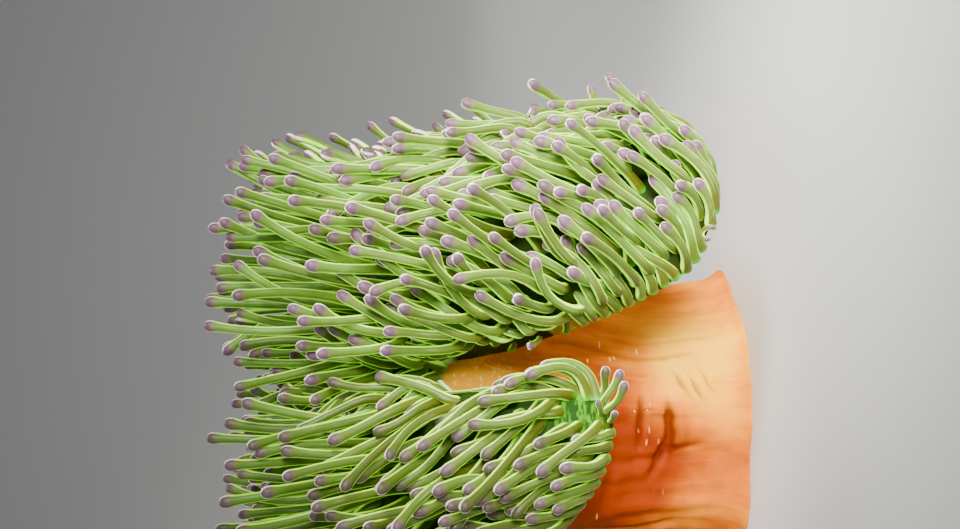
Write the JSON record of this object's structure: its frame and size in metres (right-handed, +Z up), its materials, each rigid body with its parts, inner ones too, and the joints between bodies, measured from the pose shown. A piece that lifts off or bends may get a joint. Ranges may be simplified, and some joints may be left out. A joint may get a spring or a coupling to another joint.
{
  "type": "sea anemone",
  "caption": "Life-size still model of a magnificent sea anemone, standing on its foot, with a folded disc and finger-like tentacles swept upwards.",
  "frame": {"origin": "on the ground, under the middle of the foot", "axes": "+Z up; -Y towards the side on which the two front folds part over the column; +X to the right seen from there"},
  "size_m": [0.4381, 0.4063, 0.3015],
  "materials": {
    "column_skin": "wet orange skin with fine lengthwise pleats",
    "under_skin": "wet brown skin, speckled, pale along the disc's edge",
    "disc_flesh": "wet bright green flesh with brown patches",
    "mouth_flesh": "wet yellowish lip",
    "tentacle_flesh": "wet olive green, with greyish mauve tips and a pale glow at the rims"
  },
  "bodies": {
    "root": {"foot": "column_skin", "column_lower": "column_skin", "column_upper": "under_skin", "disc_middle": "disc_flesh", "mouth": "mouth_flesh", "lobe_front_right": "tentacle_flesh", "lobe_front_left": "tentacle_flesh", "lobe_left": "tentacle_flesh", "lobe_back_left": "tentacle_flesh", "lobe_back": "tentacle_flesh", "lobe_back_right": "tentacle_flesh"}
  },
  "joints": []
}
